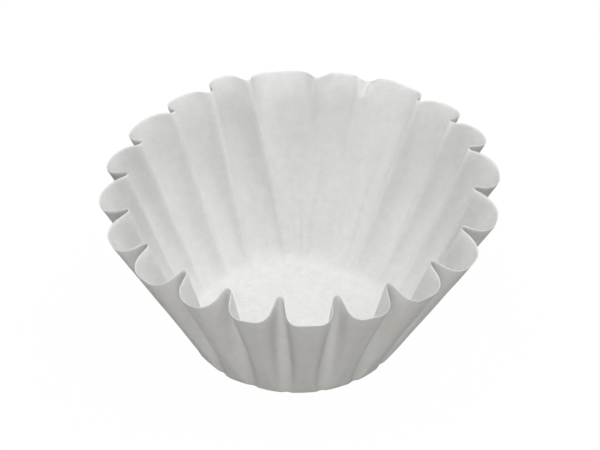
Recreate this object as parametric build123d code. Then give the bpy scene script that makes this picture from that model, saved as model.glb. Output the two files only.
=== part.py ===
from build123d import *
from math import cos, radians, sin, sqrt, tan
import os

# A paper coffee filter: one round sheet pressed into a cup with a flat base and a fluted wall.
# Lengths are in millimetres and angles in degrees. Z is up, the base rests on Z = 0, and the front
# of the cup faces -Y.

# The sheet before it is folded, and the cup that it is folded into
SHEET_DIAMETER = 160.0
PAPER_THICKNESS = 0.2
BASE_DIAMETER = 57.0
MOUTH_DIAMETER = 103.5

# A flute at the rim: a round fold that points inwards between two steep sides, and a flat lobe
FLUTE_DEPTH = 7.0
FOLD_BEND = 1.2
LOBE_BEND = 3.4
SIDE_LEAN_ANGLE = 14.0

# The same flute at the base, where it runs out into a faint scallop
BASE_FLUTE_DEPTH = 0.7
BASE_FOLD_BEND = 0.3
BASE_LOBE_BEND = 0.5

# The sheet is pleated evenly, but its flutes spring open by different amounts. Each number is one
# lobe's share of the rim, from the front round by the right, beginning at FIRST_FOLD_ANGLE.
LOBE_SPREADS = [
    17.5, 17, 17.5, 19.5, 20.5, 20, 15, 16, 17, 21,
    23.5, 15, 16.5, 20, 17, 18.5, 18, 18, 16, 16.5,
]
FIRST_FOLD_ANGLE = -6.5

# Each bend is pressed into this many narrow flats, so that the whole wall is flat strips of paper.
FLAT_COUNT = 5

base_radius = BASE_DIAMETER / 2
mouth_radius = MOUTH_DIAMETER / 2
wall_length = SHEET_DIAMETER / 2 - base_radius
flutes = len(LOBE_SPREADS)

# The direction that each lobe faces. A fold lies where two neighbouring lobes would meet.
spreads = [360 * spread / sum(LOBE_SPREADS) for spread in LOBE_SPREADS]
facings = [FIRST_FOLD_ANGLE + sum(spreads[:k]) + spreads[k] / 2 for k in range(flutes)]
fold_turns = [(spreads[k - 1] + spreads[k]) / 2 for k in range(flutes)]


def rim_height(radius):
    """Height of the paper's edge at this radius: it is one wall length from the base's fold."""
    return sqrt(wall_length**2 - (radius - base_radius) ** 2)


def carried_up(rim_radius, start_radius):
    """Radius that a straight line of the wall would reach at the height of one wall length."""
    return start_radius + (rim_radius - start_radius) * wall_length / rim_height(rim_radius)


def fluted_ring(lobe_radius, fold_radius, lobe_bend, fold_bend, height):
    """Corners of the wall's strips at one height. Rings differ in size only, so strips stay flat."""
    lean = radians(SIDE_LEAN_ANGLE)
    sharp_radius = fold_radius + fold_bend - fold_bend / sin(lean)
    corners = []
    bends = []
    for facing, turn in zip(facings, fold_turns):
        slope = tan(radians(turn) / 2)
        meeting = lobe_radius / cos(radians(turn) / 2)
        half_gap = (meeting - sharp_radius) * tan(lean) / (1 + slope * tan(lean))
        place = Rotation(0, 0, facing - turn / 2)
        for along, reach, bend in (
            (-half_gap, meeting - half_gap * slope, lobe_bend),
            (0, sharp_radius, fold_bend),
            (half_gap, meeting - half_gap * slope, lobe_bend),
        ):
            corners.append((place * Pos(along, -reach, height)).position)
            bends.append(bend)
    outline = FilletPolyline(*corners, radius=bends, close=True)
    strips = []
    for edge in outline.edges():
        flats = FLAT_COUNT if edge.geom_type == GeomType.CIRCLE else 1
        strips += [edge @ (flat / flats) for flat in range(flats)]
    return strips


def cup(floor, inset):
    """Solid inside one skin of the paper, from its floor up past the rim."""
    base = fluted_ring(
        base_radius - inset, base_radius - BASE_FLUTE_DEPTH - inset,
        BASE_LOBE_BEND - inset, BASE_FOLD_BEND + inset, floor,
    )
    top = fluted_ring(
        carried_up(mouth_radius, base_radius) - inset,
        carried_up(mouth_radius - FLUTE_DEPTH, base_radius - BASE_FLUTE_DEPTH) - inset,
        LOBE_BEND - inset, FOLD_BEND + inset, wall_length,
    )
    skin = [Face(Wire.make_polygon(base)), Face(Wire.make_polygon(top))]
    for k in range(len(base)):
        skin.append(Face(Wire.make_polygon([base[k - 1], base[k], top[k], top[k - 1]])))
    return Solid(Shell(skin))


# All that lies within one wall length of the base's fold. The sheet's edge ends there, so the inner
# folds, which lean out less, stand higher than the lobes.
edge_sweep = CenterArc((base_radius, 0), wall_length, 0, 90)
core = Polyline(edge_sweep @ 1, (0, wall_length), (0, 0), edge_sweep @ 0)
sheet_reach = revolve(Plane.XZ * make_face(edge_sweep + core), Axis.Z)

# The paper's thickness along the level, where the lobes lean out
level_paper = PAPER_THICKNESS * wall_length / rim_height(mouth_radius)
filter_paper = (cup(0, 0) - cup(PAPER_THICKNESS, level_paper)) & sheet_reach

os.makedirs("parts", exist_ok=True)
export_step(filter_paper, "parts/filter_paper.step")
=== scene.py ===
from math import asin, cos, pi, radians, sin, tan

import bpy
import numpy as np
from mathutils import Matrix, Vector, noise


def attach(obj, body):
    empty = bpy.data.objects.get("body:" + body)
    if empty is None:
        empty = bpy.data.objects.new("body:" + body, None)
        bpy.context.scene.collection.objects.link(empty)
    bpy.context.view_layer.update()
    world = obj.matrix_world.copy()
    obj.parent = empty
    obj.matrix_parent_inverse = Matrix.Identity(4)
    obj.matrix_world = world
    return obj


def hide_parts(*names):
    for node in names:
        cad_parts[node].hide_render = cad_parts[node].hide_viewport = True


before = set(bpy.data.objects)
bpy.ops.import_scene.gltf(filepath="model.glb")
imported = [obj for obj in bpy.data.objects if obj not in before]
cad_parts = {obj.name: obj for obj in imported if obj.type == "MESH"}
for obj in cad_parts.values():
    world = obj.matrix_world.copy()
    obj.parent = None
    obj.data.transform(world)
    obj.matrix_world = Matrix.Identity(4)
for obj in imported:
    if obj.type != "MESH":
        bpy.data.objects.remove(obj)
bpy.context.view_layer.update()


class Signal:
    """One output in a node tree. Sums and products of signals make its maths nodes."""

    def __init__(self, tree, socket=None):
        self.tree = tree
        self.socket = socket

    def node(self, kind, settings, inputs, output=0):
        """A new node with these settings and inputs, as the signal of one of its outputs."""
        made = self.tree.nodes.new(kind)
        for name, value in settings.items():
            setattr(made, name, value)
        for key, value in inputs.items():
            if isinstance(value, Signal):
                self.tree.links.new(value.socket, made.inputs[key])
            else:
                made.inputs[key].default_value = value
        return Signal(self.tree, made.outputs[output] if made.outputs else None)

    def maths(self, operation, *terms):
        return self.node("ShaderNodeMath", {"operation": operation}, dict(enumerate(terms)))

    def __add__(self, other):
        return self.maths("ADD", self, other)

    def __mul__(self, other):
        return self.maths("MULTIPLY", self, other)

    __radd__ = __add__
    __rmul__ = __mul__


def new_material(name):
    """A material whose node tree is empty, and the signal that its nodes are made from."""
    material = bpy.data.materials.new(name)
    material.use_nodes = True
    material.node_tree.nodes.clear()
    return material, Signal(material.node_tree)


# The camera looks down on the cup from the front, as in the photograph: a long lens, half a metre
# away, about 40 degrees above the table.
camera_target = Vector((-0.0003, 0, 0.0336))
camera_distance = 0.52
camera_rise = radians(40.3)
towards_camera = Vector((0, -cos(camera_rise), sin(camera_rise)))
camera_data = bpy.data.cameras.new("camera")
camera_data.sensor_width = 36
camera_data.lens = 118.7
camera = bpy.data.objects.new("camera", camera_data)
camera.location = camera_target + camera_distance * towards_camera
camera.rotation_euler = (pi / 2 - camera_rise, 0, 0)
bpy.context.collection.objects.link(camera)
bpy.context.scene.camera = camera


# The table is one wide, flat, matt sheet, dark enough to send little light back up at the cup. To the
# camera and in reflections most of it is a white glow, with a soft trace of the cup's shadow.
table_size = 6
table_colour = (0.14, 0.137, 0.128, 1)
glow_strength = 1.22
glow_share = 0.8
bpy.ops.mesh.primitive_plane_add(size=table_size)
table = bpy.context.object
table.name = "table"
table_material, table_start = new_material("white_table")
seen = table_start.node("ShaderNodeLightPath", {}, {}, "Is Camera Ray")
mirrored = table_start.node("ShaderNodeLightPath", {}, {}, "Is Glossy Ray")
matt = table_start.node("ShaderNodeBsdfDiffuse", {}, {"Color": table_colour})
glow = table_start.node("ShaderNodeEmission", {}, {"Color": (1, 1, 1, 1), "Strength": glow_strength})
table_look = table_start.node("ShaderNodeMixShader", {}, {
    0: (seen + mirrored) * glow_share, 1: matt, 2: glow,
})
table_start.node("ShaderNodeOutputMaterial", {}, {"Surface": table_look})
table.data.materials.append(table_material)


# Soft studio light: panels in front, on both sides and behind. The lowest two are flat strips, so
# that hardly any of their light reaches over the rim into the cup. The world gives hardly any
# light, but the camera sees it as white as the table.
world_strength = 0.01
seen_strength = 0.98
world = bpy.data.worlds.new("studio")
world.use_nodes = True
world.node_tree.nodes.clear()
world_start = Signal(world.node_tree)
sky_seen = world_start.node("ShaderNodeLightPath", {}, {}, "Is Camera Ray")
sky = world_start.node("ShaderNodeBackground", {}, {
    "Color": (1, 1, 1, 1), "Strength": world_strength + seen_strength * sky_seen,
})
world_start.node("ShaderNodeOutputWorld", {}, {"Surface": sky})
bpy.context.scene.world = world
panel_width = 1.0
strip_height = 0.13
neutral = (1, 1, 1)
warm = (1, 0.99, 0.95)
for name, place, panel_height, power, colour in (
    ("front_low", (0, -1.2, 0.07), strip_height, 3.8, warm),
    ("front_mid", (0, -0.98, 0.69), panel_width, 4.3, neutral),
    ("front_high", (0, -0.6, 1.04), panel_width, 1.2, neutral),
    ("left_low", (-0.98, 0, 0.69), panel_width, 1.8, neutral),
    ("left_high", (-0.58, 0.15, 1.04), panel_width, 5.8, neutral),
    ("right_low", (0.98, 0, 0.69), panel_width, 2.2, neutral),
    ("right_high", (0.58, 0.15, 1.04), panel_width, 7.2, neutral),
    ("back_low", (0, 1.2, 0.07), strip_height, 4.0, neutral),
):
    panel = bpy.data.lights.new(name, "AREA")
    panel.shape = "RECTANGLE"
    panel.size = panel_width
    panel.size_y = panel_height
    panel.energy = power
    panel.color = colour
    lamp = bpy.data.objects.new(name, panel)
    lamp.location = place
    lamp.rotation_euler = Vector(place).to_track_quat("Z", "Y").to_euler()
    bpy.context.collection.objects.link(lamp)
bpy.context.scene.view_settings.view_transform = "Standard"


# The filter is one round sheet of thin white paper, pressed into a cup. It is drawn ring by ring, from
# the middle of the base out to the fluted rim. The rim lies as far from the base's fold as the sheet
# reaches, so the inner folds stand higher than the lobes between them.
paper = 0.0002
base_radius = 0.0292
base_shift = -0.0013
mouth_radius = 0.0519
wall_length = 0.0512

# The inner folds, in degrees from the front round by the right. The last one is the first again. At
# the base they are spread evenly, apart from one at the back.
flutes = 20
fold_angles = np.radians([
    -6.5, 11, 28, 45.5, 65, 85.5, 105.5, 120.5, 136.5, 160,
    174.5, 199, 213, 229.5, 249.5, 266.5, 285, 303, 321, 337, 353.5,
])
base_turn = -5
base_angles = np.radians(360 / flutes * np.arange(flutes + 1) + base_turn)
base_angles[11] = radians(187)

# A flute at the rim: its fold's depth and bend, its sides' lean and its lobe's bends. Down at the base
# only a scallop is left of it.
fold_bend_at_rim = 0.0012
fold_depths = np.full(flutes + 1, 0.007)
fold_leans = np.full(flutes + 1, radians(14))
base_scallops = np.full(flutes + 1, 0.0002)
lobe_bends = 0.001 * np.array([
    3.4, 3.8, 4.6, 6.2, 7, 6.6, 4.6, 5.2, 5.2, 3,
    7.5, 4, 5.2, 6.6, 5.6, 6.4, 5.2, 5, 4.8, 4,
])
# One fold at the back has sprung almost flat, the next two lean open, and a few pinch the base's fold.
sprung_folds = [9, 10, 11]
fold_depths[9] = 0.0026
fold_leans[sprung_folds] = radians(45), radians(28), radians(20)
base_scallops[[8, 9, 10, 12, 13]] = 0.0006, 0.00005, 0.00005, 0.0011, 0.0011

# How fast a fold runs out below the rim: at 1 its depth shrinks evenly down to the base
back_folds = slice(5, 17)
back_lobes = slice(5, 16)
fold_fades = np.full(flutes + 1, 0.9)
fold_fades[back_folds] = 1.25
fold_fades[sprung_folds] = 2.2, 3, 1.3
# How much wider a fold's bend grows down the wall, and how much flatter its sides. The folds at the
# back stay narrow creases between flat sides, apart from two of the sprung ones.
fold_widenings = np.full(flutes + 1, 0.0022)
fold_widenings[back_folds] = 0.0006
fold_widenings[[9, 10]] = 0.012
side_flattenings = np.full(flutes + 1, radians(26))
side_flattenings[back_folds] = radians(48)
flattening_power = 1.5
# How much rounder a lobe's bends grow down the wall. Below 0 they grow tighter, as they do in front.
lobe_roundings = np.full(flutes, -0.5)
lobe_roundings[back_lobes] = 0.6


def half_flute(width, depth, lean, fold_bend, lobe_bend):
    """Half a flute at one height, from the middle of an inner fold to the middle of a lobe: how far
    each point lies along the wall, and how far inside the lobes' circle."""
    flattest_lean = radians(75)
    depth_for_bends = 0.9
    width_for_side = 0.95
    fold_points = 6
    lobe_points = 7
    flat_points = 3
    # The side of a shallow fold leans further, and bends that find no room are squeezed.
    bends = fold_bend + lobe_bend
    lean = max(min(lean, flattest_lean), asin(max(0, 1 - depth_for_bends * depth / bends)))
    room = width_for_side * width - depth * tan(lean)
    widest = room / (cos(lean) - (1 - sin(lean)) * tan(lean))
    squeeze = min(1, widest / bends)
    bends *= squeeze
    fold_bend *= squeeze
    lobe_bend *= squeeze
    turn = pi / 2 - lean
    lobe_start = bends * cos(lean) + (depth - bends * (1 - sin(lean))) * tan(lean)
    around_fold = np.linspace(0, turn, fold_points)
    around_lobe = np.linspace(turn, 0, lobe_points)
    along = np.concatenate([
        fold_bend * np.sin(around_fold),
        lobe_start - lobe_bend * np.sin(around_lobe),
        np.linspace(lobe_start, width, flat_points + 1)[1:],
    ])
    inside = np.concatenate([
        depth - fold_bend + fold_bend * np.cos(around_fold),
        lobe_bend - lobe_bend * np.cos(around_lobe),
        np.zeros(flat_points),
    ])
    return along, inside


def wall_section(share):
    """The wall's angles and depths at this share of its height. Down the wall the flutes turn towards
    their places at the base, while their folds grow shallower and wider and their sides flatter."""
    down = 1 - share
    angles = fold_angles * share + base_angles * down
    radius = base_radius + (mouth_radius - base_radius) * share
    turns = []
    insides = []
    for k in range(flutes):
        width = radius * (angles[k + 1] - angles[k]) / 2
        for fold, side in ((k, 1), (k + 1, -1)):
            spring = fold_depths[fold] - base_scallops[fold]
            along, inside = half_flute(
                width,
                base_scallops[fold] + spring * share ** fold_fades[fold],
                fold_leans[fold] + side_flattenings[fold] * down**flattening_power,
                fold_bend_at_rim + fold_widenings[fold] * down,
                lobe_bends[k] * (1 + lobe_roundings[k] * down),
            )
            kept = slice(0, -1) if side == 1 else slice(None, 0, -1)
            turns.append(angles[fold] + side * along[kept] / radius)
            insides.append(inside[kept])
    return np.concatenate(turns), np.concatenate(insides)


rim_turn = wall_section(1)[0]
columns = len(rim_turn)
base_centre = np.array([base_shift, 0, paper / 2])


def near(angle, spread):
    """How near the wall's columns are to an angle in degrees: 1 there, and less further round."""
    return np.exp(-(((rim_turn - radians(angle)) / radians(spread)) ** 2))


def swollen(size, swells):
    """A size round the wall that changes by an amount near each angle, over the spread given."""
    for amount, angle, spread in swells:
        size = size + amount * near(angle, spread)
    return size


# The sheet was pressed a little off its centre, so the wall is longest at the back on the right, and
# neither end is quite round. At the back the base's edge also waves a little.
wall_lengths = swollen(wall_length, ((0.0017, 120, 24), (0.0008, 151, 5), (0.0014, 205, 7)))
rim_reach = swollen(mouth_radius, ((0.0012, 120, 24), (0.0006, 300, 22), (-0.0006, 82, 22)))
base_reach = swollen(base_radius, ((-0.0048, 152, 45), (-0.0022, 222, 35)))
at_back = near(180, 70)
long_waves = 0.0005 * np.sin(9 * rim_turn + 1)
short_waves = 0.0003 * np.sin(16 * rim_turn)
base_reach = base_reach + at_back * (long_waves + short_waves)


def wall_ring(share):
    """Points round the wall at this share of its height."""
    lowest_share = 0.2
    turn, inside = wall_section(share)
    # The depth that each column's fold would reach at the rim, which sets how high its line rises
    fold = np.minimum(inside / max(share, lowest_share), fold_depths.max())
    height = np.sqrt(wall_lengths**2 - (rim_reach - fold - base_radius) ** 2)
    radius = base_reach + (rim_reach - base_reach) * share - inside
    points = np.stack([radius * np.sin(turn), -radius * np.cos(turn), height * share], axis=1)
    return points + base_centre * [1 - share, 1 - share, 1]


outward = np.stack([np.sin(rim_turn), -np.cos(rim_turn), np.zeros(columns)], axis=1)
base = wall_ring(0)
rim = wall_ring(1)

floor_shares = (0.15, 0.35, 0.55, 0.75)
rings = [base_centre + (base - base_centre) * share for share in floor_shares]
# The base's fold is pressed sharp at the front and softer towards the back.
base_bend = 0.0048
bend_rings = 10
mean_sharpness = 2.8
front_sharpness = 1.2
sharpness = (mean_sharpness + front_sharpness * np.cos(rim_turn))[:, None]
bend_share = base_bend / wall_length
floor_edge = base_centre + (base - base_centre) * (1 - base_bend / base_radius)
wall_foot = wall_ring(bend_share)
for share in np.linspace(0, 1, bend_rings):
    pulls = ((1 - share) ** 2, 2 * share * (1 - share) * sharpness, share**2)
    rings.append((floor_edge * pulls[0] + base * pulls[1] + wall_foot * pulls[2]) / sum(pulls))
# The wall's rings lie closer together towards the rim.
rim_band = 0.8
low_rings = 25
high_rings = 14
low_shares = np.linspace(0, rim_band, low_rings + 1)[1:]
high_shares = np.linspace(rim_band, 1, high_rings + 1)[1:]
for share in np.concatenate([low_shares, high_shares]):
    rings.append(wall_ring(bend_share + (1 - bend_share) * share))

# Beside the flat fold, the rim has popped outwards into a small pocket that narrows downwards.
pocket_angle = radians(160)
pocket_drop = 0.0055
pocket_width = 0.0044
pocket_push = 0.0024
pocket_sink = 0.0026
past_fold = 0.4
near_slope = 0.6
far_slope = 0.7
narrowest = 0.01
pocket_move = pocket_push * outward - [0, 0, pocket_sink]
away = (pocket_angle - rim_turn) * mouth_radius
for k, ring in enumerate(rings):
    left = 1 - np.linalg.norm(rim - ring, axis=1) / pocket_drop
    across = away / (pocket_width * np.clip(left, narrowest, 1))
    ramp = np.minimum((across + past_fold) / near_slope, (1 - across) / far_slope)
    bulge = np.sin(pi / 2 * np.clip(ramp, 0, 1)) ** 2
    pocket = (bulge * np.clip(left, 0, 1))[:, None]
    rings[k] = ring + pocket * pocket_move

# The paper is never quite even: it swells and dips a little, most of all just above the base's fold.
swell_scale = 110
wall_swell = 0.00012
foot_swell = 0.00025
foot_share = 0.06
foot_spread = 0.08
slope = (rim - base) / np.linalg.norm(rim - base, axis=1)[:, None]
facing = outward * slope[:, 2:] - [0, 0, 1] * np.hypot(slope[:, :1], slope[:, 1:2])
for k, ring in enumerate(rings):
    unevenness = np.array([noise.noise(Vector(point) * swell_scale) for point in ring])
    rise = np.clip(ring[:, 2] / wall_length, 0, 1)
    swell = wall_swell + foot_swell * np.exp(-(((rise - foot_share) / foot_spread) ** 2))
    on_table = ring[:, 2:] <= paper
    rings[k] = ring + np.where(on_table, 0, facing * (swell * unevenness)[:, None])

points = np.concatenate([[base_centre], *rings])
faces = []
for k in range(columns):
    after = (k + 1) % columns
    faces.append((0, 1 + k, 1 + after))
    for row in range(len(rings) - 1):
        low = 1 + row * columns
        faces.append((low + k, low + columns + k, low + columns + after, low + after))
mesh = bpy.data.meshes.new("filter_paper_look")
mesh.from_pydata(points.tolist(), [], faces)
mesh.shade_smooth()
filter_paper = bpy.data.objects.new("filter_paper_look", mesh)
bpy.context.collection.objects.link(filter_paper)

# The cut edge is pressed thinner than the rest of the sheet.
edge_thinning = 0.3
edge_start = len(points) - columns
body = filter_paper.vertex_groups.new(name="body")
body.add(range(edge_start), 1.0, "REPLACE")
body.add(range(edge_start, len(points)), edge_thinning, "REPLACE")
thickness = filter_paper.modifiers.new("paper", "SOLIDIFY")
thickness.vertex_group = "body"
thickness.thickness = paper
thickness.offset = 0
bpy.context.view_layer.objects.active = filter_paper
bpy.ops.object.modifier_apply(modifier="paper")

# White, matt paper, cloudy and fibrous, that lets more light through in its wall than in its floor
paper_white = (0.905, 0.905, 0.9)
plain_tone = 0.8
cloud_tone = 0.08
mottle_tone = 0.13
fibre_tone = 0.19
mottle_bump = 0.6
fibre_bump = 0.4
fibre_stretch = (1, 1, 2.5)
through_colour = (0.92, 0.91, 0.87, 1)
through_height = 0.024
floor_through = 0.12
wall_through = 0.2
paper_material, start = new_material("filter_paper")
spot = start.node("ShaderNodeTexCoord", {}, {}, "Object")
stretched = start.node("ShaderNodeVectorMath", {"operation": "MULTIPLY"}, {0: spot, 1: fibre_stretch})
clouds = start.node("ShaderNodeTexNoise", {}, {"Vector": spot, "Scale": 130.0, "Detail": 2.0})
mottle = start.node("ShaderNodeTexNoise", {}, {"Vector": spot, "Scale": 420.0, "Detail": 3.0})
fibres = start.node("ShaderNodeTexNoise", {}, {"Vector": stretched, "Scale": 1300.0, "Detail": 3.0})
tone = plain_tone + cloud_tone * clouds + mottle_tone * mottle + fibre_tone * fibres
paper_colour = start.node("ShaderNodeCombineColor", {}, {
    "Red": tone * paper_white[0], "Green": tone * paper_white[1], "Blue": tone * paper_white[2],
})
bumps = start.node("ShaderNodeBump", {}, {
    "Strength": 0.5, "Distance": 0.0001, "Height": mottle_bump * mottle + fibre_bump * fibres,
})
surface = start.node("ShaderNodeBsdfPrincipled", {}, {
    "Base Color": paper_colour, "Roughness": 0.93, "Specular IOR Level": 0.2, "Normal": bumps,
})
through = start.node("ShaderNodeBsdfTranslucent", {}, {"Color": through_colour})
height = start.node("ShaderNodeSeparateXYZ", {}, {0: spot}, "Z")
through_share = start.node("ShaderNodeMapRange", {}, {
    "Value": height, "From Min": paper, "From Max": through_height,
    "To Min": floor_through, "To Max": wall_through,
})
paper_look = start.node("ShaderNodeMixShader", {}, {0: through_share, 1: surface, 2: through})
start.node("ShaderNodeOutputMaterial", {}, {"Surface": paper_look})
filter_paper.data.materials.append(paper_material)
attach(filter_paper, "root")
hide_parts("filter_paper")
